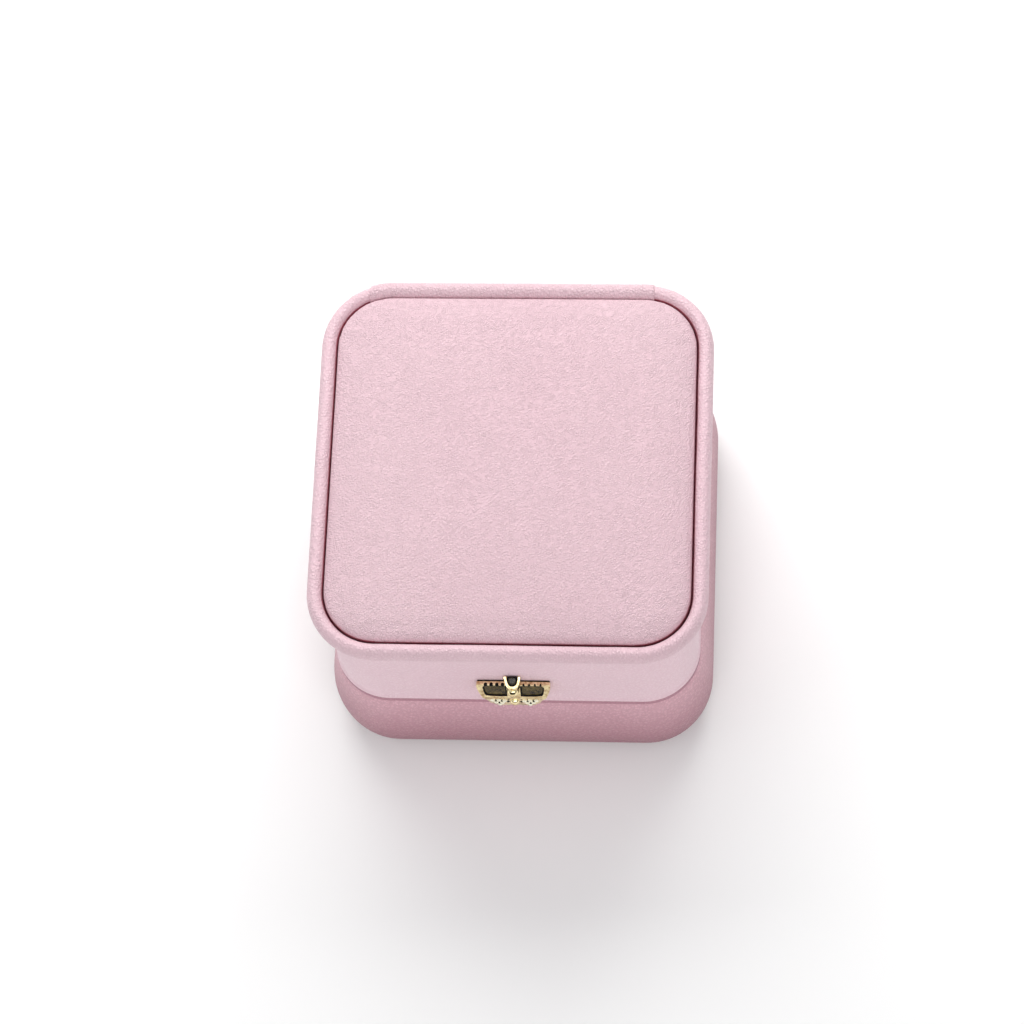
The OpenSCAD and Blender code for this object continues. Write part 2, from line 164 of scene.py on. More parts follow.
def stacked(name, rows, smooth=True):
    """A closed solid through rings of points, all with as many points."""
    m, n = len(rows), len(rows[0])
    faces = grid_faces(m, n, False, True)
    faces += [tuple(range(n)), tuple(range((m - 1) * n, m * n))]
    return mesh_from(name, [p for row in rows for p in row], faces, smooth)


def arc(start, stop, step):
    """Angles in radians, from whole degrees."""
    return [math.radians(a) for a in range(start, stop, step)]


def sweep(name, profile, closed=True, shift=None, na=18, ns=34):
    """A profile of (inset, height) swept right round the case."""
    rows = []
    for u, (b, z) in enumerate(profile):
        for v, (x, y) in enumerate(outline(b, na, ns)):
            p = Vector((x, y, z))
            rows.append(shift(p, u, v) if shift else p)
    nv = len(rows) // len(profile)
    return mesh_from(name, rows, grid_faces(len(profile), nv, closed, True))


def sheet_shell(name, profile, thick, cut=None, na=18, ns=34, offset=1.0):
    """A leather or cloth skin: the profile's surface, cut where told, given a thickness."""
    obj = sweep(name, profile, closed=False, na=na, ns=ns)
    bm = bmesh.new()
    bm.from_mesh(obj.data)
    if cut:
        gone = [f for f in bm.faces if cut(f.calc_center_median())]
        bmesh.ops.delete(bm, geom=gone, context="FACES")
    bmesh.ops.recalc_face_normals(bm, faces=bm.faces)
    bm.to_mesh(obj.data)
    bm.free()
    side = obj.data.polygons[0]
    centre = Vector((0, CY, side.center.z))
    if (side.center - centre).dot(side.normal) < 0:
        obj.data.flip_normals()
    mod = obj.modifiers.new("skin", "SOLIDIFY")
    mod.thickness = thick
    mod.offset = -offset
    apply_modifiers(obj)
    return smooth(obj, 50)


def base_inset(z):
    """The base's outer face: flares out below the seam, then curves in to the foot."""
    if z >= WIDE_Z:
        return BASE_IN + (SEAM_IN - BASE_IN) * ((z - WIDE_Z) / (SEAM - WIDE_Z)) ** 1.5
    u = min(1.0, (WIDE_Z - z) / (WIDE_Z - FELT_TOP))
    return BASE_IN + FOOT_IN * (1 - math.sqrt(max(0.0, 1 - u * u)))


def inset_at(p):
    """How far a point stands inside the rim line."""
    over_x, over_y = abs(p.x) - (W / 2 - R), abs(p.y - CY) - (D / 2 - R)
    if over_x > 0 and over_y > 0:
        return R - math.hypot(over_x, over_y)
    return R - max(over_x, over_y)


def back_y(b, x):
    """Where the back of the case is at inset b and sideways place x."""
    over = abs(x) - (W / 2 - R)
    rc = R - b
    if over <= 0:
        return BACK - b
    return BACK - R + math.sqrt(max(rc * rc - over * over, 0))


def wobble(p, scale, seed=0.0):
    return noise.noise(Vector((p[0] * scale + seed, p[1] * scale - seed, p[2] * scale)))


# ---- materials -----------------------------------------------------------------
def srgb(r, g, b):
    def lin(c):
        c /= 255
        return c / 12.92 if c <= 0.04045 else ((c + 0.055) / 1.055) ** 2.4
    return (lin(r), lin(g), lin(b), 1.0)


class Nodes:
    """A small helper that adds and joins shader nodes."""

    def __init__(self, name):
        self.mat = bpy.data.materials.new(name)
        self.mat.use_nodes = True
        self.tree = self.mat.node_tree
        self.bsdf = next(n for n in self.tree.nodes if n.type == "BSDF_PRINCIPLED")
        self.coord = self.add("ShaderNodeTexCoord")

    def add(self, kind, **values):
        node = self.tree.nodes.new(kind)
        for key, value in values.items():
            setattr(node, key, value)
        return node

    def join(self, a, b):
        self.tree.links.new(a, b)

    def feed(self, value, socket):
        """Sets a socket to a plain value, or joins another node's output to it."""
        if isinstance(value, (tuple, int, float)):
            socket.default_value = value
        else:
            self.join(value, socket)

    def place(self, scale=(1, 1, 1), turn=(0, 0, 0)):
        m = self.add("ShaderNodeMapping")
        m.inputs["Scale"].default_value = scale
        m.inputs["Rotation"].default_value = turn
        self.join(self.coord.outputs["Object"], m.inputs["Vector"])
        return m.outputs["Vector"]

    def noise(self, vec, scale, detail=2.0, rough=0.5, distort=0.0):
        n = self.add("ShaderNodeTexNoise")
        n.inputs["Scale"].default_value = scale
        n.inputs["Detail"].default_value = detail
        n.inputs["Roughness"].default_value = rough
        n.inputs["Distortion"].default_value = distort
        self.join(vec, n.inputs["Vector"])
        return n.outputs["Fac"]

    def swirl(self, vec, scale, amount):
        """Coordinates pushed about by a soft noise."""
        n = self.add("ShaderNodeTexNoise")
        n.inputs["Scale"].default_value = scale
        self.join(vec, n.inputs["Vector"])
        push = self.add("ShaderNodeVectorMath", operation="MULTIPLY_ADD")
        push.inputs[1].default_value = (amount,) * 3
        self.join(n.outputs["Color"], push.inputs[0])
        self.join(vec, push.inputs[2])
        return push.outputs["Vector"]

    def voronoi(self, vec, scale, feature="F1", smoothness=None):
        n = self.add("ShaderNodeTexVoronoi")
        n.feature = feature
        n.inputs["Scale"].default_value = scale
        if smoothness is not None:
            n.inputs["Smoothness"].default_value = smoothness
        self.join(vec, n.inputs["Vector"])
        return n.outputs["Distance"]

    def math(self, op, a, b):
        n = self.add("ShaderNodeMath", operation=op)
        self.feed(a, n.inputs[0])
        self.feed(b, n.inputs[1])
        return n.outputs[0]

    def total(self, *terms):
        """The sum of (output, weight) pairs."""
        parts = [self.math("MULTIPLY", value, weight) for value, weight in terms]
        result = parts[0]
        for part in parts[1:]:
            result = self.math("ADD", result, part)
        return result

    def span(self, value, a, b, c, d):
        n = self.add("ShaderNodeMapRange")
        for key, v in zip(("From Min", "From Max", "To Min", "To Max"), (a, b, c, d)):
            n.inputs[key].default_value = v
        self.join(value, n.inputs["Value"])
        return n.outputs["Result"]

    def mix(self, fac, a, b):
        n = self.add("ShaderNodeMix", data_type="RGBA")
        for i, v in ((0, fac), (6, a), (7, b)):         # the factor, and the two colour sockets
            self.feed(v, n.inputs[i])
        return n.outputs[2]

    def bump(self, height, distance, strength=1.0):
        n = self.add("ShaderNodeBump")
        n.inputs["Distance"].default_value = distance
        n.inputs["Strength"].default_value = strength
        self.join(height, n.inputs["Height"])
        return n.outputs["Normal"]

    def set(self, **values):
        for key, v in values.items():
            self.feed(v, self.bsdf.inputs[key.replace("_", " ")])


def leather(name, light, mid, deep, cell, grain, rough, stretch=1.5, turn=0.45, foot=None):
    """Fine-grained coated leather: pebble cells `cell` mm across, with creases between.

    The cells are `stretch` times as long as wide and lie `turn` radians round. With `foot`,
    the tone deepens to that colour towards the table: painted shade, for the low wall that gets little light
    from below."""
    n = Nodes(name)
    along = n.add("ShaderNodeMapping")
    along.inputs["Scale"].default_value = (1 / MM, stretch / MM, 1 / MM)
    n.join(n.place(turn=(0, 0, turn)), along.inputs["Vector"])
    warped = n.swirl(along.outputs["Vector"], 0.8, 0.4)
    cells = n.voronoi(warped, 1 / cell, "SMOOTH_F1", 0.15)
    edges = n.voronoi(warped, 1 / cell, "DISTANCE_TO_EDGE")
    fine = n.noise(warped, 2.6 / cell, 4.0, 0.65)
    creases = n.noise(warped, 0.7 / cell, 4.0, 0.62, 0.8)
    dome = n.span(cells, 0.05, 0.6, 1.0, 0.0)
    valley = n.span(edges, 0.0, 0.16, 0.0, 1.0)
    height = n.total((dome, 0.5), (creases, 0.45), (valley, 0.2), (fine, 0.16))
    tone = n.noise(n.place(), 0.035 / MM, 3.0, 0.55)        # broad patches, about 30 mm across
    body = n.mix(n.span(tone, 0.3, 0.7, 0.0, 1.0), mid, light)
    # painted shade: from 19 mm down to 2 mm the tone deepens to `foot`, where the wall gets little light from
    # below
    if foot:
        parts = n.add("ShaderNodeSeparateXYZ")
        n.join(n.coord.outputs["Object"], parts.inputs[0])
        body = n.mix(n.span(parts.outputs["Z"], 2 * MM, 19 * MM, 1.0, 0.0), body, foot)
    colour = n.mix(n.span(height, 0.45, 1.0, 0.32, 0.0), body, deep)
    gloss = n.span(height, 0.4, 1.0, rough + 0.08, rough - 0.06)
    n.set(Base_Color=colour, Roughness=gloss, Normal=n.bump(height, 0.34 * MM * grain, 1.0))
    n.set(Specular_IOR_Level=0.42, Sheen_Weight=0.08, Sheen_Roughness=0.45)
    n.bsdf.inputs["Sheen Tint"].default_value = (1, 0.93, 0.95, 1)
    return n.mat


def velvet(name, light, deep):
    n = Nodes(name)
    vec = n.place(scale=(1 / MM,) * 3)
    pile = n.noise(vec, 6.0, 3.0, 0.7)
    nap = n.noise(vec, 0.24, 4.0, 0.62, 0.3)
    colour = n.mix(n.span(nap, 0.25, 0.75, 0.25, 0.9), deep, light)
    colour = n.mix(n.span(pile, 0.3, 0.7, 0.45, 0.0), colour, deep)
    height = n.total((pile, 1.0), (nap, 0.6))
    n.set(Base_Color=colour, Roughness=n.span(pile, 0.3, 0.7, 0.86, 0.98),
          Normal=n.bump(height, 0.12 * MM, 0.7))
    n.set(Sheen_Weight=0.55, Sheen_Roughness=0.35, Specular_IOR_Level=0.15)
    return n.mat


def satin(name, light, deep):
    n = Nodes(name)
    vec = n.place(scale=(1 / MM,) * 3)
    warp_yarn = n.add("ShaderNodeTexWave", wave_type="BANDS", bands_direction="X")
    weft_yarn = n.add("ShaderNodeTexWave", wave_type="BANDS", bands_direction="Y")
    for node, scale in ((warp_yarn, 3.2), (weft_yarn, 2.1)):
        node.inputs["Scale"].default_value = scale
        node.inputs["Distortion"].default_value = 0.6
        n.join(vec, node.inputs["Vector"])
    weft = n.math("MULTIPLY", weft_yarn.outputs["Fac"], 0.8)
    weave = n.math("MAXIMUM", warp_yarn.outputs["Fac"], weft)
    folds = n.noise(vec, 0.09, 3.0, 0.5, 1.2)
    colour = n.mix(n.span(folds, 0.3, 0.7, 0.0, 1.0), deep, light)
    colour = n.mix(n.math("MULTIPLY", weave, 0.12), colour, deep)
    height = n.total((weave, 0.25), (folds, 0.4))
    n.set(Base_Color=colour, Roughness=n.span(weave, 0.0, 1.0, 0.34, 0.5),
          Normal=n.bump(height, 0.06 * MM, 0.5))
    n.set(Sheen_Weight=0.25, Sheen_Roughness=0.3, Anisotropic=0.4)
    return n.mat


def metal(name, light, deep, rough, brush=(1, 1, 1), tarnish_and_reflection=0.5, blot=0.7):
    """Polished metal with darker blots, and fine lines across the directions that `brush` raises. The blots
    are tarnish, and on the gilt, where they are deep, partly painted dark reflection.
    """
    n = Nodes(name)
    vec = n.place(scale=tuple(s / MM for s in brush))
    plain = n.place(scale=(1 / MM,) * 3)
    lines = n.noise(vec, 3.5, 4.0, 0.65)
    spots = n.noise(plain, blot, 4.0, 0.6)
    colour = n.mix(n.span(spots, 0.42, 0.68, 0.0, tarnish_and_reflection), light, deep)
    height = n.total((lines, 0.6), (spots, 0.8))
    n.set(Base_Color=colour, Roughness=n.span(lines, 0.25, 0.75, rough - 0.05, rough + 0.1),
          Normal=n.bump(height, 0.012 * MM, 0.5), Metallic=1.0)
    return n.mat


def matt(name, light, deep, rough, size, depth, fibres=False, shine=0.5):
    """Card, felt, moulded plastic, and the near-black used as painted shade on the clasp and the button: a
    mottled surface with its own grain.
    """
    n = Nodes(name)
    vec = n.place(scale=(1 / MM,) * 3)
    grain = n.noise(vec, 3.0 / size, 5.0, 0.65, 1.5 if fibres else 0.0)
    blot = n.noise(vec, 0.25 / size, 2.0, 0.5)
    mottle = n.total((grain, 0.7), (blot, 0.3))
    colour = n.mix(n.span(mottle, 0.35, 0.65, 0.0, 1.0), deep, light)
    n.set(Base_Color=colour, Roughness=n.span(grain, 0.3, 0.7, rough - 0.06, rough + 0.08),
          Normal=n.bump(grain, depth * MM, 0.8))
    n.set(Specular_IOR_Level=shine)
    if fibres:
        n.set(Sheen_Weight=0.3, Sheen_Roughness=0.5, Specular_IOR_Level=0.2)
    return n.mat


def enamel(name):
    """The clasp's polished dark windows, smoky brown with an olive cast."""
    n = Nodes(name)
    vec = n.place(scale=(1 / MM,) * 3)
    cloud = n.noise(vec, 0.9, 4.0, 0.6, 1.0)
    fleck = n.noise(vec, 4.0, 2.0, 0.6)
    colour = n.mix(n.span(cloud, 0.35, 0.65, 0.0, 1.0), srgb(30, 20, 10), srgb(104, 90, 48))
    colour = n.mix(n.span(fleck, 0.56, 0.72, 0.0, 0.6), colour, srgb(140, 104, 66))
    n.set(Base_Color=colour, Roughness=n.span(cloud, 0.3, 0.7, 0.14, 0.3),
          Normal=n.bump(cloud, 0.05 * MM, 0.8))
    n.set(Specular_IOR_Level=0.2, Coat_Weight=0.06, Coat_Roughness=0.08)
    return n.mat


def jewel(name, light, deep, clear):
    n = Nodes(name)
    vec = n.place(scale=(1 / MM,) * 3)
    spark = n.voronoi(vec, 4.5)
    colour = n.mix(n.span(spark, 0.1, 0.6, 0.0, 1.0), light, deep)
    n.set(Base_Color=colour, Roughness=n.span(spark, 0.1, 0.6, 0.02, 0.12))
    if clear:
        n.set(IOR=1.9, Specular_IOR_Level=0.8, Coat_Weight=0.6, Coat_Roughness=0.03)
    else:
        n.set(IOR=1.5, Specular_IOR_Level=0.35, Coat_Weight=0.1, Coat_Roughness=0.1)
    return n.mat


PINK = dict(light=srgb(236, 206, 213), mid=srgb(231, 199, 207), deep=srgb(206, 165, 177))
# a lighter copy of the pink for the lid's wall: painted light, brightening the side wall that gets less light
# than the top
LID_PINK_LIT = dict(light=srgb(243, 215, 222), mid=srgb(238, 208, 216), deep=srgb(214, 174, 186))
# a darker, redder copy of the pink for the base, with darker creases to go with its foot: painted shade for
# the base's wall, which faces down and away from the light
BASE_PINK_SHADED = dict(light=srgb(232, 184, 195), mid=srgb(226, 175, 187), deep=srgb(146, 94, 108))
# the darker band at the base's top edge, under the lid's lip: painted shadow along the parting line
SEAM_SHADOW_PINK = dict(light=srgb(190, 142, 154), mid=srgb(184, 134, 147), deep=srgb(160, 112, 124))
# a deeper red for the walls of the groove between rim and panel: painted shade, which reads as a dark maroon
# line
GROOVE_SHADE_RED = dict(light=srgb(206, 118, 134), mid=srgb(192, 102, 118), deep=srgb(160, 78, 92))
# the frame has materials of the same names, so Blender numbers these: the key leaves that out
M = {made.name.split(".")[0]: made for made in (
    leather("leather_panel", cell=0.46, grain=0.68, rough=0.5, turn=-0.55, **PINK),
    leather("leather_rim", cell=0.5, grain=0.55, rough=0.46, stretch=1.0, **PINK),
    leather("leather_lid", cell=0.55, grain=0.35, rough=0.42, stretch=1.0, **LID_PINK_LIT),
    leather("leather_seam_shadow", cell=0.55, grain=0.3, rough=0.55, **SEAM_SHADOW_PINK),
    # the base and the spine strip deepen towards the table: painted shade low down
    leather("leather_base", cell=0.6, grain=0.45, rough=0.44, stretch=1.0,
            foot=srgb(146, 88, 102), **BASE_PINK_SHADED),
    leather("leather_strip", cell=0.5, grain=0.75, rough=0.46, stretch=1.0,
            foot=srgb(170, 118, 130), **PINK),
    leather("leather_groove_shade", cell=0.6, grain=0.5, rough=0.6, **GROOVE_SHADE_RED),
    velvet("velvet", srgb(245, 231, 224), srgb(226, 206, 199)),
    satin("satin", srgb(246, 236, 230), srgb(236, 222, 215)),
    # the gilt's deep darker blots are partly tarnish and partly painted dark reflection, which gives the gold
    # its contrast
    metal("gilt", srgb(255, 238, 188), srgb(156, 102, 46), rough=0.11, tarnish_and_reflection=0.75, blot=1.1),
    metal("gilt_ball", srgb(255, 240, 190), srgb(180, 128, 66), rough=0.07, blot=1.8),
    enamel("enamel"),
    # near-black used as painted shade: in the clasp's gaps and recesses, at the drop's edge and in the
    # button's slot
    matt("painted_shade_black", srgb(14, 8, 6), srgb(5, 3, 3), rough=0.45, size=0.4, depth=0.01, shine=0.12),
    jewel("dark_stone", srgb(96, 84, 54), srgb(30, 24, 16), clear=False),
    jewel("stones", srgb(255, 255, 240), srgb(255, 248, 214), clear=True),
    metal("steel", srgb(214, 208, 198), srgb(140, 134, 124), rough=0.3, brush=(0.4, 6, 6)),
    metal("spring_steel", srgb(176, 178, 182), srgb(104, 106, 112), rough=0.26, brush=(6, 0.6, 6)),
    matt("moulding", srgb(58, 55, 54), srgb(36, 34, 34), rough=0.5, size=0.5, depth=0.02),
    matt("card", srgb(164, 154, 144), srgb(126, 116, 108), rough=0.82, size=0.8, depth=0.04, fibres=True),
    matt("felt", srgb(224, 192, 200), srgb(190, 154, 164), rough=0.95, size=0.7, depth=0.12, fibres=True),
)}


def dress(obj, material, slot, body=None, *nodes):
    """Gives a new piece its material, body and the CAD nodes that it stands for; `slot` is not used."""
    obj.data.materials.clear()
    obj.data.materials.append(M[material])
    if nodes:
        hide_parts(*nodes)
    if body:
        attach(obj, body)
    return obj


def tint(obj, material, where):
    """Gives the faces that `where` picks, by index and face, a second material."""
    obj.data.materials.append(M[material])
    for i, face in enumerate(obj.data.polygons):
        if where(i, face):
            face.material_index = 1


# ---- camera --------------------------------------------------------------------
EYE_TURN, EYE_TILT, EYE_ROLL = 12.662, 68.351, -11.167      # degrees
EYE_AT = Vector((-1.771, 1.656, 24.0)) * MM                 # the point aimed at
EYE_FAR = 647.48 * MM
SENSOR, LENS = 36.0, 132.5777                               # millimetres


def make_camera():
    az, el, roll = math.radians(EYE_TURN), math.radians(EYE_TILT), math.radians(EYE_ROLL)
    target = EYE_AT + Vector((0, CY, 0))
    back = Vector((math.sin(az) * math.cos(el), -math.cos(az) * math.cos(el), math.sin(el)))
    right0 = Vector((math.cos(az), math.sin(az), 0))
    up0 = back.cross(right0)
    right = math.cos(roll) * right0 + math.sin(roll) * up0
    up = math.cos(roll) * up0 - math.sin(roll) * right0
    cam = bpy.data.objects.new("camera", bpy.data.cameras.new("camera"))
    bpy.context.scene.collection.objects.link(cam)
    cam.data.sensor_width, cam.data.lens = SENSOR, LENS
    cam.data.clip_start, cam.data.clip_end = 0.01, 20
    turn = Matrix((right, up, back)).transposed().to_4x4()
    cam.matrix_world = Matrix.Translation(target + back * EYE_FAR) @ turn
    bpy.context.scene.camera = cam


make_camera()


# ---- padded forms --------------------------------------------------------------
def puff(obj, voxel, cap, pinned, pressure, frames=20, grow=20.0):
    """Remeshes a closed form, lets air pressure fill it as cloth, and limits how far it moves.

    `pinned` says which points are held. The cloth is worked at `grow` times its size, where
    the solver's defaults suit it."""
    obj.data.transform(Matrix.Scale(grow, 4))
    mod = obj.modifiers.new("remesh", "REMESH")
    mod.mode, mod.voxel_size, mod.use_smooth_shade = "VOXEL", voxel * grow, True
    apply_modifiers(obj)
    mod = obj.modifiers.new("relax", "SMOOTH")
    mod.factor, mod.iterations = 0.5, 4
    apply_modifiers(obj)
    count = len(obj.data.vertices)
    start = np.empty(count * 3)
    obj.data.vertices.foreach_get("co", start)
    start = start.reshape(-1, 3)
    group = obj.vertex_groups.new(name="held")
    for i, p in enumerate(start):
        if pinned(p / grow):
            group.add([i], 1.0, "REPLACE")
    cloth = obj.modifiers.new("air", "CLOTH")
    cloth.settings.use_pressure = True
    cloth.settings.uniform_pressure_force = pressure
    cloth.settings.effector_weights.gravity = 0
    cloth.settings.vertex_group_mass = "held"
    cloth.settings.quality = 5
    scene = bpy.context.scene
    cloth.point_cache.frame_start, cloth.point_cache.frame_end = 1, frames
    for f in range(1, frames + 1):
        scene.frame_set(f)
    dg = bpy.context.evaluated_depsgraph_get()
    moved = obj.evaluated_get(dg).data
    end = np.empty(count * 3)
    moved.vertices.foreach_get("co", end)
    move = end.reshape(-1, 3) - start
    size = np.linalg.norm(move, axis=1, keepdims=True)
    limit = cap * grow
    move *= limit * np.tanh(size / limit) / np.maximum(size, 1e-9)
    obj.modifiers.clear()
    scene.frame_set(1)
    obj.data.vertices.foreach_set("co", (start + move).ravel())
    obj.vertex_groups.clear()
    obj.data.transform(Matrix.Scale(1 / grow, 4))
    obj.data.update()
    return smooth(obj)


def subdivide_once(obj):
    mod = obj.modifiers.new("soft", "SUBSURF")
    mod.levels = mod.render_levels = 1
    return apply_modifiers(obj)


# ---- the padded top panel ------------------------------------------------------
CROWN = 0.95 * MM                   # how far the panel rises from its edge to its middle


def crown_height(b, edge):
    """Rise of the panel's top at inset b; it is level from 30 mm in."""
    t = min(max((b - edge) / (30 * MM - edge), 0), 1)
    return CROWN * (1 - (1 - t) ** 2.1)


def top_panel():
    edge, c = 2.82 * MM, 1.5 * MM               # inset of the side, width of the rounded edge
    top = PANEL_TOP - CROWN
    low, knee = LID_TOP + 0.85 * MM, top - 1.45 * MM
    prof = [(edge + 12 * MM, low), (edge + 4 * MM, low), (edge + 0.35 * MM, low),
            (edge + 0.05 * MM, low + 0.3 * MM)]
    prof += [(edge, low + t * (knee - low)) for t in (0.3, 0.65, 1.0)]
    prof += [(edge + c * (1 - math.cos(s)), knee + (top - knee) * math.sin(s)) for s in arc(12, 91, 13)]
    for b in (5.5, 7, 9, 11.5, 14, 17, 20, 23, 26, 29, 31.5):
        prof.append((b * MM, top + crown_height(b * MM, edge + c)))
    obj = close_holes(sweep("top_panel", prof, closed=False, na=12, ns=30), weld=2e-6)
    puff(obj, 0.6 * MM, 0.2 * MM, lambda p: p[2] < top - 0.7 * MM, pressure=3.0)
    subdivide_once(obj)
    dress(obj, "leather_panel", "leather_panel", "lid", "lid_top_cover", "lid_top_foam")
    # the panel's side down in the groove gets the deeper red: painted shade
    tint(obj, "leather_groove_shade", lambda i, face: face.center.z < knee - 0.15 * MM)


top_panel()


# ---- the rolled rim ------------------------------------------------------------
def rim_roll():
    prof = [(RIM_A - RIM_A * math.cos(s), RIM_Z + RIM_B * math.sin(s)) for s in arc(-80, 236, 9)]
    rolled = len(prof)
    prof += [(2.62 * MM, LID_TOP + 0.72 * MM), (3.4 * MM, LID_TOP + 0.66 * MM),
             (4.3 * MM, LID_TOP + 0.6 * MM), (4.35 * MM, LID_TOP + 0.1 * MM),
             (2.6 * MM, LID_TOP + 0.06 * MM), (1.6 * MM, LID_TOP + 0.06 * MM)]

    def uneven(p, u, v):
        """Hand-rolled leather: a few hundredths of a millimetre in and out, up and down."""
        if u >= rolled:
            return p
        out = Vector((p.x, p.y - CY, 0))
        out.normalize()
        k = 0.05 * wobble(p, 90, 2.0) + 0.025 * wobble(p, 260, 5.0)
        return p + out * k * MM + Vector((0, 0, 0.05 * MM * wobble(p, 120, 9.0)))

    obj = sweep("rim_roll", prof, shift=uneven, na=26, ns=56)
    fix_normals(obj)
    smooth(obj, 60)
    dress(obj, "leather_rim", "leather_rim", "lid", "lid_rim_cover", "lid_rim_core")
    # the rim's inner side down in the groove gets the deeper red: painted shade
    tint(obj, "leather_groove_shade", lambda i, face: inset_at(face.center) > 2.0 * MM
         and LID_TOP + 0.3 * MM < face.center.z < RIM_Z + 0.8 * MM)


rim_roll()


# ---- the lid's wall leather, with its turned lower edge --------------------------
def in_hinge(p, low, high):
    """Whether a point is in the slot that the hinge leaves and knuckles need at the back."""
    return p.y > CY and abs(p.x) < 20.4 * MM and low < p.z < high


def lid_wall():
    s = SEAM_IN
    prof = [(s, LID_TOP - 0.02 * MM), (s, 42 * MM)]
    prof += [(s - 0.03 * MM * math.sin(math.pi * i / 12), (42 - 19.3 * i / 12) * MM) for i in range(1, 12)]
    lip = [(0, 22.5), (-0.05, 22.32), (-0.2, 22.12), (-0.3, 21.9), (-0.31, 21.7), (-0.22, 21.45),
           (-0.04, 21.3), (0.3, 21.25), (1.4, 21.25), (2.3, 21.27)]
    prof += [(s + b * MM, z * MM) for b, z in lip]
    obj = sheet_shell("lid_wall_leather", prof, 0.2 * MM,
                      cut=lambda p: in_hinge(p, 0, 31.4 * MM), na=22, ns=44)
    dress(obj, "leather_lid", "leather_lid", "lid", "lid_wall_cover")


lid_wall()


# ---- the base's wall leather, turned under the foot ------------------------------
def base_wall():
    zs = [21.08, 20.98, 20.7, 20.2, 19.2, 18, 16.5, 15, 13.5, 12, 10.5, 9.2, 8.2, 7.2, 6.2, 5.2,
          4.3, 3.5, 2.8, 2.2, 1.7, 1.3, 1.0, 0.8, 0.68, 0.62]
    prof = [(5.1 * MM, 21.15 * MM), (4.2 * MM, 21.17 * MM), (3.2 * MM, 21.17 * MM), (2.72 * MM, 21.15 * MM)]
    for z in zs:
        b = base_inset(z * MM)
        if z >= 20:
            b += (z - 20) * 0.32 * MM
        prof.append((b, z * MM))
    prof += [(3.1 * MM, 0.62 * MM), (4.4 * MM, 0.64 * MM), (6.5 * MM, 0.66 * MM), (9 * MM, 0.66 * MM)]
    obj = sheet_shell("base_wall_leather", prof, 0.12 * MM,
                      cut=lambda p: in_hinge(p, 11.6 * MM, 22 * MM), na=22, ns=44)
    dress(obj, "leather_base", "leather_base", "base", "base_wall_cover")
    # the base's top edge under the lid's lip gets the darker band: painted shadow along the parting line
    tint(obj, "leather_seam_shadow", lambda i, face: face.center.z > 20.5 * MM and inset_at(face.center) < 2.55 * MM)


base_wall()


# ---- the leather spine strip, one piece from base to lid -------------------------
def spine_strip():
    thick, half, aside = 0.34 * MM, 24.0 * MM, -1.2 * MM
    path = []
    for z in (5.6, 7, 8.5, 10, 11.5, 13, 14.5, 16, 17):
        path.append((base_inset(z * MM) / MM - 0.02, z))
    path += [(1.32, 18), (0.98, 18.9), (0.62, 19.7), (0.38, 20.4), (0.3, 21.1), (0.34, 21.8),
             (0.5, 22.5), (0.8, 23.2), (1.24, 24.0), (1.7, 24.9), (2.1, 26.0), (2.26, 27.4)]
    path += [(2.28, z) for z in (29, 31, 33, 35, 37, 39, 41, 42.6, 43.6)]
    path += [(2.2, 44.4), (1.75, 45.0), (1.1, 45.42)]
    path += [(1.3 - 1.2 * math.cos(s), 47.4 + 1.82 * math.sin(s)) for s in arc(-62, 120, 13)]
    path += [(2.2, 48.7), (2.46, 48.1), (2.58, 47.3), (2.62, 46.6)]
    pts = [Vector((b, z)) * MM for b, z in path]
    edge, cols = 0.22 * MM, 46
    across = [-half + edge + (2 * half - 2 * edge) * i / cols for i in range(cols + 1)]
    side = [(half - 0.07 * MM, thick * 0.86), (half, thick * 0.5), (half - 0.03 * MM, thick * 0.08)]
    loop = [(x, thick) for x in across] + side
    loop += [(-x, h) for x, h in [(x, 0.0) for x in across] + side[::-1]]
    rows = []
    for i, p in enumerate(pts):
        t = (pts[min(i + 1, len(pts) - 1)] - pts[max(i - 1, 0)]).normalized()
        n = Vector((-t.y, t.x))                 # towards smaller inset: outwards
        fade = min(1.0, 0.25 + 0.75 * min(i, len(pts) - 1 - i) / 2)     # both ends are skived thin
        row = []
        for x, h in loop:
            q = p + n * (h * fade)
            y = back_y(q.x, x + aside)
            s = 0.04 * MM * wobble((x + aside, y, q.y), 110, 4.0) * (h / thick)
            row.append((x + aside, y + s, q.y))
        rows.append(row)
    obj = fix_normals(stacked("spine_strip", rows))
    smooth(obj, 55)
    dress(obj, "leather_strip", "leather_rim")
    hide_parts("spine_cover_base", "spine_cover_lid")
    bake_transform(obj)


spine_strip()


# ---- linings -------------------------------------------------------------------
def front_block(x, b0, b1, z0, z1):
    """A cutting box at the front, centred on the clasp."""
    return prism("cutter", [(-x, z0), (x, z0), (x, z1), (-x, z1)], b0, b1)


def neck_velvet():
    prof = [(7.5, 3.3)] + [(7.5, z) for z in (8, 13, 18, 22, 23.6)]
    prof += [(7.0 + 0.5 * math.cos(a), 24.1 + 0.5 * math.sin(a)) for a in arc(0, 91, 15)]
    prof += [(5.9 - 0.42 * math.sin(a), 24.18 + 0.42 * math.cos(a)) for a in arc(0, 91, 15)]
    prof += [(5.46, 23.2), (5.45, 22.2), (5.46, 21.35), (5.55, 21.28), (5.59, 21.4), (5.59, 24.2),
             (6.95, 24.21), (7.02, 23.9), (7.02, 14), (7.02, 3.3)]
    obj = sweep("neck_velvet", [(b * MM, z * MM) for b, z in prof], na=14, ns=30)
    fix_normals(obj)
    carve(obj, [front_block(3.3, 6.96, 8.4, 16, 24.215)], "DIFFERENCE")     # room for the keeper
    smooth(obj, 60)
    dress(obj, "velvet", "velvet", "base", "neck_lining")


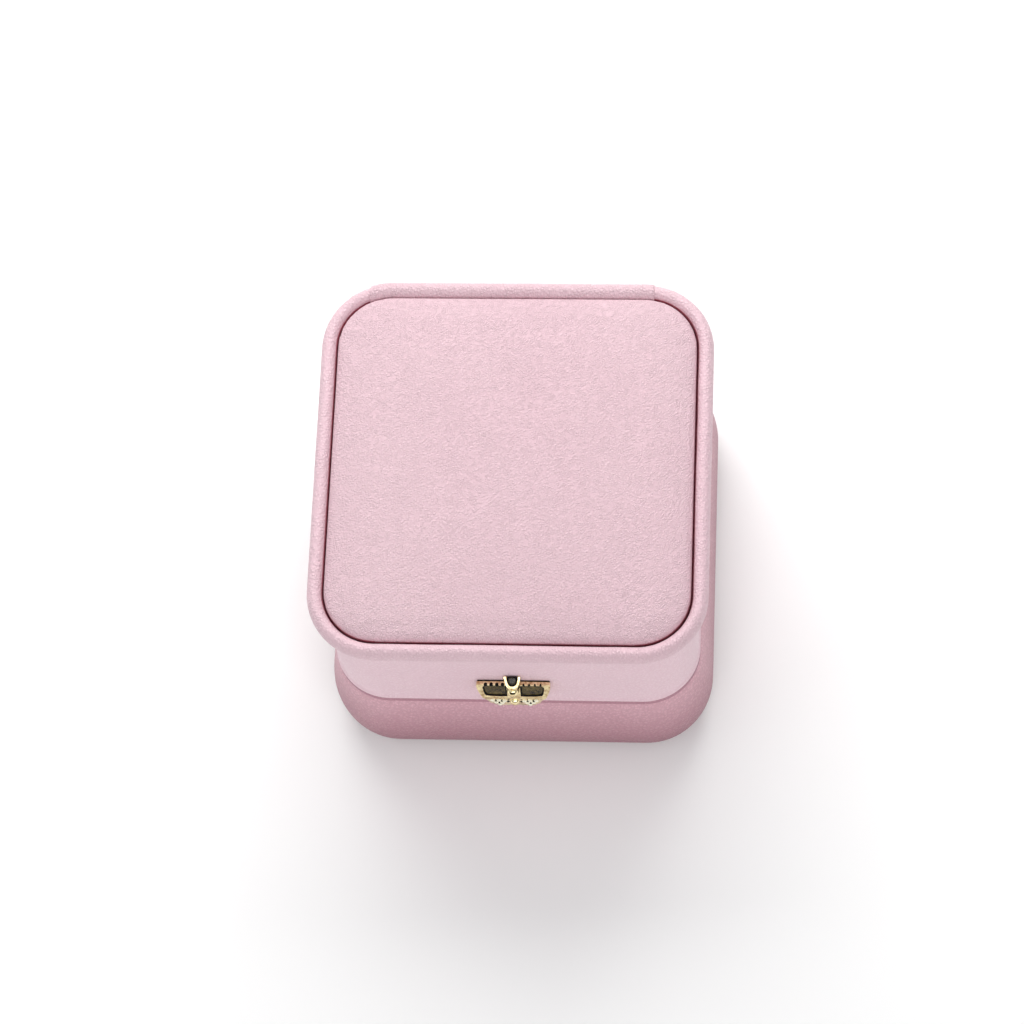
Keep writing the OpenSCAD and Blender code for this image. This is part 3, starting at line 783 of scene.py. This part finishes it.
def lid_velvet():
    prof = [(5.17, 21.9)] + [(5.2, z) for z in (22.4, 24, 27, 30, 33, 36, 39, 41.5, 43.3)]
    obj = sheet_shell("lid_velvet", [(b * MM, z * MM) for b, z in prof], 0.6 * MM, na=12, ns=40,
                      cut=lambda p: p.y < CY and abs(p.x) < 5.4 * MM and p.z < 40.4 * MM, offset=-1.0)
    dress(obj, "velvet", "velvet", "lid", "lid_lining_wall")


def ceiling_pad():
    prof = [(5.3, 43.3), (5.28, 42.6), (5.6, 41.9), (6.4, 41.45), (7.6, 41.2)]
    for b in (9, 11, 13.5, 16, 19, 22, 25, 28, 30.5):
        t = min((b - 7.6) / 22, 1)
        prof.append((b, 41.2 - 0.5 * (1 - (1 - t) ** 2)))

    def puckers(p, u, v):
        """Gathers in the satin, which fade towards the middle."""
        if u < 2:
            return p
        fall = max(0.0, 1 - (u - 2) / 6)
        a = math.atan2(p.y - CY, p.x)
        return p + Vector((0, 0, 0.12 * MM * fall * math.sin(a * 34 + 2 * wobble(p, 90))))

    prof = [(b * MM, z * MM) for b, z in prof]
    obj = close_holes(sweep("lid_ceiling_pad", prof, closed=False, shift=puckers, na=12, ns=30))
    smooth(obj, 60)
    dress(obj, "satin", "satin", "lid", "lid_lining_pad")


# ---- the slotted ring cushion, two rolled halves ----------------------------------
def cushion(name, side, *nodes):
    zf, zt = 4.5 * MM, 20.4 * MM
    ya = CY + 0.42 * MM if side > 0 else FRONT + 7.75 * MM
    yb = BACK - 7.75 * MM if side > 0 else CY - 0.42 * MM
    cy, half_x, half_y = (ya + yb) / 2, W / 2 - 7.75 * MM, (yb - ya) / 2
    roll, corner = 3.6 * MM, 2.4 * MM           # top edge roll, plan corner radius
    levels = [(zf, 0.5 * MM), (zf + 0.4 * MM, 0.0), (zf + 4 * MM, -0.05 * MM), (zf + 8 * MM, -0.05 * MM),
              (zt - roll, 0.0)]
    levels += [(zt - roll + roll * math.sin(a), roll * (1 - math.cos(a))) for a in arc(15, 91, 15)]
    rows = []
    for z, k in levels:
        hx, hy = half_x - k, half_y - k
        r = max(min(corner, hy * 0.9, hx * 0.9), 0.5 * MM)
        ring = []
        for q, (sx, sy) in enumerate(((1, 1), (-1, 1), (-1, -1), (1, -1))):
            for a in arc(90 * q, 90 * q + 91, 15):
                ring.append((sx * (hx - r) + r * math.cos(a), cy + sy * (hy - r) + r * math.sin(a), z))
        rows.append(ring)
    obj = fix_normals(stacked(name, rows))
    puff(obj, 0.8 * MM, 0.45 * MM, lambda p: p[2] < zf + 6 * MM, pressure=5.0)
    subdivide_once(obj)
    dress(obj, "velvet", "velvet", "base", *nodes)


cushion("cushion_front", -1, "pad_velvet_front", "pad_foam_front")
cushion("cushion_back", 1, "pad_velvet_back", "pad_foam_back")


# ---- small solids on the front face: x sideways, b inset from the front, z up ------
def at_front(x, b, z):
    return Vector((x * MM + CLASP_X, FRONT + b * MM, z * MM))


def between(name, first, last):
    """The flat-sided solid between two outlines with as many points."""
    n = len(first)
    faces = [tuple(range(n)), tuple(range(2 * n - 1, n - 1, -1))]
    faces += [(i, (i + 1) % n, n + (i + 1) % n, n + i) for i in range(n)]
    return fix_normals(mesh_from(name, first + last, faces, False))


def prism(name, pts, b0, b1):
    """A flat outline of (x, z) points in millimetres, from inset b0 (front) to b1 (back)."""
    return between(name, [at_front(x, b0, z) for x, z in pts], [at_front(x, b1, z) for x, z in pts])


def pillar(name, pts, z0, z1):
    """A plan outline of (x, b) points in millimetres, from height z0 to z1."""
    return between(name, [at_front(x, b, z0) for x, b in pts], [at_front(x, b, z1) for x, b in pts])


def ball(bm, x, b, z, radius, fine=2):
    """Adds a small ball to a mesh being built; all in millimetres."""
    place = Matrix.Translation(at_front(x, b, z))
    bmesh.ops.create_icosphere(bm, subdivisions=fine, radius=radius * MM, matrix=place)


def disc(x, z, r, n=40):
    return [(x + r * math.cos(2 * math.pi * i / n), z + r * math.sin(2 * math.pi * i / n)) for i in range(n)]


def curve_through(pts, steps=6):
    """An open smooth line through the points, ends kept."""
    out = []
    for i in range(len(pts) - 1):
        p0, p1, p2, p3 = (pts[max(i - 1, 0)], pts[i], pts[i + 1], pts[min(i + 2, len(pts) - 1)])
        for s in range(steps):
            t = s / steps
            out.append(tuple(0.5 * (2 * p1[k] + (p2[k] - p0[k]) * t
                                    + (2 * p0[k] - 5 * p1[k] + 4 * p2[k] - p3[k]) * t * t
                                    + (3 * p1[k] - p0[k] - 3 * p2[k] + p3[k]) * t ** 3) for k in (0, 1)))
    return out + [tuple(pts[-1])]


def carve(obj, others, operation):
    for other in others:
        mod = obj.modifiers.new("cut", "BOOLEAN")
        mod.operation, mod.object, mod.solver = operation, other, "EXACT"
        apply_modifiers(obj)
        bpy.data.objects.remove(other)
    return obj


def chamfer(obj, width, segments=2, angle=32):
    mod = obj.modifiers.new("edge", "BEVEL")
    mod.width, mod.segments, mod.limit_method = width, segments, "ANGLE"
    mod.angle_limit = math.radians(angle)
    mod.harden_normals = False
    apply_modifiers(obj)
    return smooth(obj, 40)


# the clasp's outlines, in millimetres: (x, z) for the face, (x, inset) for the bezel and its drop
STONES = ((1.65, 26.5), (2.65, 26.75), (3.7, 26.7), (2.1, 25.55), (3.15, 25.75), (2.55, 24.75))
DROP = [(0.98, 2.02), (0.95, 1.6), (0.82, 1.12), (0.6, 0.76), (0.3, 0.6), (0, 0.56)]
BEZEL = [(1.32, 1.98), (1.28, 1.5), (1.14, 0.98), (0.88, 0.5), (0.46, 0.24), (0, 0.18)]
WINDOW = ((1.1, 31.05), (2.4, 31.12), (3.8, 31.12), (4.9, 31.0), (5.16, 30.6), (5.1, 29.6), (4.95, 28.7),
          (4.7, 28.15), (3.6, 27.98), (2.4, 27.92), (1.1, 27.98), (1.12, 29.0), (1.12, 30.0))


def slope(z):
    """Inset of the clasp's sloping face at height z."""
    t = min(max((z - 27.6) / 3.8, 0), 1)
    return 0.4 + 1.0 * t


def both(half):
    """A closed outline from its right half; points on the middle line aren't repeated."""
    return half + [(-x, b) for x, b in reversed(half) if x > 1e-6]


def clasp_body():
    """The crown: a plate whose face slopes out to a band of stones, with its window openings."""
    side = curve_through([(6.0, 31.4), (6.2, 30.9), (6.0, 29.6), (5.62, 28.3), (5.35, 27.5)], 5)
    low = curve_through([(5.35, 27.5), (4.95, 27.05), (4.4, 26.0), (4.2, 25.2), (3.7, 24.8),
                         (3.3, 24.15), (2.9, 24.2), (2.3, 23.75), (1.75, 24.1), (1.2, 23.85),
                         (0.8, 24.2), (0, 24.1)], 3)[1:]
    plate = prism("clasp_frame", both([(0, 31.4)] + side + low), -0.5, 1.98)
    off = ((-3, 22), (-3, 33), (1.82, 33), (1.4, 31.4), (0.4, 27.6), (0.32, 27.2), (0.32, 22))
    wedge = between("wedge", *([at_front(x, b, z) for b, z in off] for x in (-9, 9)))
    carve(plate, [wedge], "DIFFERENCE")
    carve(plate, [bezel(), pillar("neck", both([(1.22, 1.97), (1.2, 1.45)]), 30.8, 32.1)], "UNION")
    cuts = [pillar("pocket", both(DROP), 32.3, 35), prism("bore", disc(0, BUTTON_Z, 1.1), -1.5, 3.0)]
    for s in (-1, 1):
        cuts.append(between("window", [at_front(s * x, -1.5, z) for x, z in WINDOW],
                            [at_front(s * x, slope(z) + 0.5, z) for x, z in WINDOW]))
        cuts += [prism("pocket", disc(s * x, z, 0.46, 20), -0.6, 0.8) for x, z in STONES]
    cuts += [prism("bore", disc(x, 30.4, 0.5, 24), 1.75, 4) for x in (-3.95, 3.95)]
    carve(plate, cuts, "DIFFERENCE")
    return chamfer(plate, 0.1 * MM, 3)


def bezel_top(b):
    """Height of the bezel's sloping top at inset b."""
    return 32.45 + 0.72 * b


def bezel():
    outline = curve_through(both(BEZEL) + [both(BEZEL)[0]], 3)[:-1]
    return between("bezel", [at_front(x, b, 32.0) for x, b in outline],
                   [at_front(x, b, bezel_top(b)) for x, b in outline])


def join_into(objs, name):
    """Makes one mesh of several, in the first object."""
    bm = bmesh.new()
    for obj in objs:
        bm.from_mesh(obj.data)
    for obj in objs[1:]:
        bpy.data.objects.remove(obj)
    bm.to_mesh(objs[0].data)
    bm.free()
    objs[0].name = objs[0].data.name = name
    return fix_normals(objs[0])


def clasp_plate():
    """The crown with four claws to each stone, a domed foot, and a near-black strip between it and the
    leather: painted shadow in the gap behind the plate.
    """
    plate = clasp_body()
    bm = bmesh.new()
    bm.from_mesh(plate.data)
    for s in (-1, 1):
        for x, z in STONES:
            for a in arc(45, 316, 90):
                ball(bm, s * x + 0.42 * math.cos(a), 0.36, z + 0.42 * math.sin(a), 0.12)
    bmesh.ops.create_uvsphere(bm, u_segments=40, v_segments=24, radius=0.92 * MM,
                              matrix=Matrix.Translation(at_front(0, 0.6, 25.9)))
    bm.to_mesh(plate.data)
    bm.free()
    smooth(plate, 40)
    dress(plate, "gilt", "gilt", "lid", "clasp_plate")
    whole = len(plate.data.polygons)
    # a near-black strip behind the plate's back edge: painted shadow in the gap between plate and leather
    shadow_strip = prism("shadow_strip", both([(0, 31.36), (6.0, 31.3), (6.1, 30.8), (5.55, 28.3), (4.2, 26.0),
                                     (2.9, 24.4), (0, 24.3)]), 1.985, 2.24)
    bm = bmesh.new()
    bm.from_mesh(plate.data)
    bm.from_mesh(shadow_strip.data)
    bm.to_mesh(plate.data)
    bm.free()
    bpy.data.objects.remove(shadow_strip)
    tint(plate, "painted_shade_black", lambda i, face: i >= whole)


def clasp_windows():
    """Two domed inlays with near-black rims, and near-black beads along their upper edge and between the
    stones. The rims and beads are painted shade: the recess's shadowed edge, and shadowed notches and holes.
    """
    cx, cz = 3.3, 29.6                          # middle of the right window
    steps = ((0.99, 0.49), (0.99, 0.08), (0.96, 0.03), (0.9, 0.05), (0.86, 0.24), (0.5, 0.2))
    wins = []
    for s in (-1, 1):
        rows = [[at_front(s * (cx + (x - cx) * k), slope(cz + (z - cz) * k) + d, cz + (z - cz) * k)
                 for x, z in WINDOW] for k, d in steps]
        wins.append(stacked("window", rows))
    inlays = join_into(wins, "clasp_windows")
    bm = bmesh.new()
    bm.from_mesh(inlays.data)
    # the beads are near-black: painted shade, standing in for shadowed notches along the upper edge and
    # shadowed holes between the stones
    for s, bead in ((-1, 0.36), (1, 0.27)):
        for i in range(4):                      # along the upper edge
            ball(bm, s * (1.75 + 0.95 * i), 1.5, 31.18, bead, fine=3)
        for x, z in ((1.15, 25.9), (2.2, 26.2), (3.2, 26.3), (2.65, 25.2)):     # between the stones
            ball(bm, s * x, 0.48, z, 0.33)
    bm.to_mesh(inlays.data)
    bm.free()
    smooth(inlays, 30)
    dress(inlays, "enamel", "inlay", "lid", "clasp_inlays")
    n = len(WINDOW)
    whole = (len(steps) - 1) * n + 2            # faces of one window
    # the windows' outer rows and the beads get the near-black: painted shade at the edge of the recess
    tint(inlays, "painted_shade_black", lambda i, face: i >= 2 * whole or (i % whole) // n < 4)


def clasp_drop():
    """The drop-shaped stone lying in the bezel, near-black at its edge: painted shade where it meets the
    bezel's wall.
    """
    fine = curve_through(both(DROP) + [both(DROP)[0]], 3)[:-1]
    cb, rows = 1.4, []
    for k, lift in ((0.97, None), (0.97, -0.34), (0.9, -0.12), (0.74, 0.02), (0.5, 0.08), (0.24, 0.1)):
        ring = [(x * k, cb + (b - cb) * k) for x, b in fine]
        rows.append([at_front(x, b, 32.32 if lift is None else bezel_top(b) + lift) for x, b in ring])
    drop = fix_normals(stacked("clasp_drop", rows))
    smooth(drop, 40)
    dress(drop, "dark_stone", "dark_stone", "lid", "clasp_teardrop")

    def near_edge(i, face):
        b = (face.center.y - FRONT) / MM
        return math.hypot((face.center.x - CLASP_X) / MM / 0.8, (b - cb + 0.06) / 0.72) > 0.8

    # the stone's edge gets the near-black: painted shade along the bezel's wall
    tint(drop, "painted_shade_black", near_edge)


def clasp_gems():
    """Small eight-sided stones, each turned a little from the last."""
    n, gems = 8, []
    cut = ((0.8, 0.12, 0), (0.5, 0.46, 0), (0.34, 0.49, 0), (0.14, 0.38, 0.5), (0.04, 0.22, 0))
    for s in (-1, 1):
        for j, (x, z) in enumerate(STONES):
            rows = []
            for b, r, turn in cut:
                angles = [2 * math.pi * (i + turn) / n + 0.2 * j for i in range(n)]
                rows.append([at_front(s * x + r * math.cos(a), b, z + r * math.sin(a)) for a in angles])
            gems.append(fix_normals(stacked("gem", rows, False)))
    dress(join_into(gems, "clasp_gems"), "stones", "stones", "lid", "clasp_stones")


clasp_plate()
clasp_windows()
clasp_drop()
clasp_gems()
neck_velvet()
lid_velvet()
ceiling_pad()


def button():
    """The gold ball and its shank, turned about the sliding axis, with a slot in the face."""
    centre, r, z = 0.55, 1.0, BUTTON_Z
    prof = [(centre - r * math.cos(s), r * math.sin(s)) for s in arc(0, 148, 6)]
    prof += [(centre + 0.9, 0.5), (5.48, 0.5), (5.52, 0.35), (5.98, 0.35), (6.02, 0.5), (7.7, 0.5),
             (7.84, 0.38), (7.85, 0)]
    n, verts = 40, []
    for b, rad in prof[1:-1]:
        verts += [at_front(rad * math.cos(2 * math.pi * i / n), b, z + rad * math.sin(2 * math.pi * i / n))
                  for i in range(n)]
    m = len(prof) - 2
    faces = grid_faces(m, n, False, True)
    verts += [at_front(0, prof[0][0], z), at_front(0, prof[-1][0], z)]
    faces += [(i, (i + 1) % n, m * n) for i in range(n)]
    faces += [((m - 1) * n + i, (m - 1) * n + (i + 1) % n, m * n + 1) for i in range(n)]
    knob = fix_normals(mesh_from("clasp_knob", verts, faces))
    slot_line = [(-0.36, -0.18), (0.36, -0.18), (0.46, 0), (0.36, 0.18), (-0.36, 0.18), (-0.46, 0)]
    slot = prism("slot", slot_line, -r - 1, -r + 0.32)
    pivot = at_front(0, centre, z)
    slot.data.transform(Matrix.Translation(-at_front(0, 0, 0)))
    slot.data.transform(Matrix.Translation(pivot) @ Matrix.Rotation(math.radians(-42), 4, "X"))
    carve(knob, [slot], "DIFFERENCE")
    smooth(knob, 40)
    dress(knob, "gilt_ball", "gilt", "button", "clasp_button")
    # the slot's inside is near-black: painted shade in the slot, which also stands in for a dark reflection
    # at the middle of the ball
    tint(knob, "painted_shade_black", lambda i, face: face.center.y < pivot.y
         and (face.center - pivot).length < (r - 0.06) * MM)


button()


# ---- the felt foot ---------------------------------------------------------------
def foot():
    prof = [(5.3 * MM, 0.02 * MM), (5.05 * MM, 0.12 * MM), (5.0 * MM, 0.35 * MM), (5.08 * MM, 0.56 * MM)]
    obj = close_holes(sweep("foot_felt", prof, closed=False, na=14, ns=30))
    smooth(obj, 50)
    dress(obj, "felt", "felt", "base", "base_bottom_felt")


foot()


# ---- the frame's own hard parts ----------------------------------------------------
HARD = {
    "moulding": ("base_shell", "neck_collar", "lid_shell"),
    "card": ("base_bottom_board", "insert_board", "lid_top_board"),
    "steel": ("hinge_base_leaf", "hinge_lid_leaf", "hinge_pin", "hinge_rivets_base", "hinge_rivets_lid",
              "clasp_rivets", "catch_bracket", "catch_pin", "catch_hook", "keeper_rivets"),
    "spring_steel": ("hinge_spring", "catch_spring", "keeper_spring", "button_clip"),
}
for material, names in HARD.items():
    for name in names:
        part = NODES[name]
        part.data.materials.clear()
        part.data.materials.append(M[material])
        smooth(part, 35)


# ---- floor and light ---------------------------------------------------------------
def floor():
    n = Nodes("floor")
    cloud = n.noise(n.place(), 9.0, 3.0, 0.5)
    n.set(Base_Color=n.mix(n.span(cloud, 0.3, 0.7, 0.0, 1.0), srgb(251, 251, 250), srgb(254, 254, 253)),
          Roughness=n.span(cloud, 0.3, 0.7, 0.62, 0.7))
    n.set(Specular_IOR_Level=0.2)
    s = 3.0                                     # metres from the middle to each side
    obj = mesh_from("floor", [(-s, -s, 0), (s, -s, 0), (s, s, 0), (-s, s, 0)], [(0, 1, 2, 3)], False)
    obj.data.materials.append(n.mat)


def softbox(name, place, size, power, colour=(1, 1, 1)):
    lamp = bpy.data.lights.new(name, "AREA")
    lamp.shape, lamp.size, lamp.size_y = "RECTANGLE", size[0], size[1]
    lamp.energy, lamp.color = power, colour
    obj = bpy.data.objects.new(name, lamp)
    bpy.context.scene.collection.objects.link(obj)
    obj.location = place
    aim = Vector((0, 0, 0.03)) - Vector(place)
    obj.rotation_euler = aim.to_track_quat("-Z", "Y").to_euler()


floor()
softbox("key_top_back", (-0.03, 0.26, 0.28), (0.42, 0.28), 1.46, (1.0, 0.995, 0.985))
softbox("fill_left", (-1.0, -0.1, 0.8), (0.8, 0.8), 0.9)
softbox("fill_front", (0.15, -0.8, 0.75), (1.2, 0.6), 4.6)

world = bpy.data.worlds.new("studio")
bpy.context.scene.world = world
world.use_nodes = True
world.node_tree.nodes["Background"].inputs["Color"].default_value = (0.96, 0.97, 1.0, 1)
world.node_tree.nodes["Background"].inputs["Strength"].default_value = 0.44
bpy.context.scene.view_settings.view_transform = "Standard"
bpy.context.scene.view_settings.look = "None"
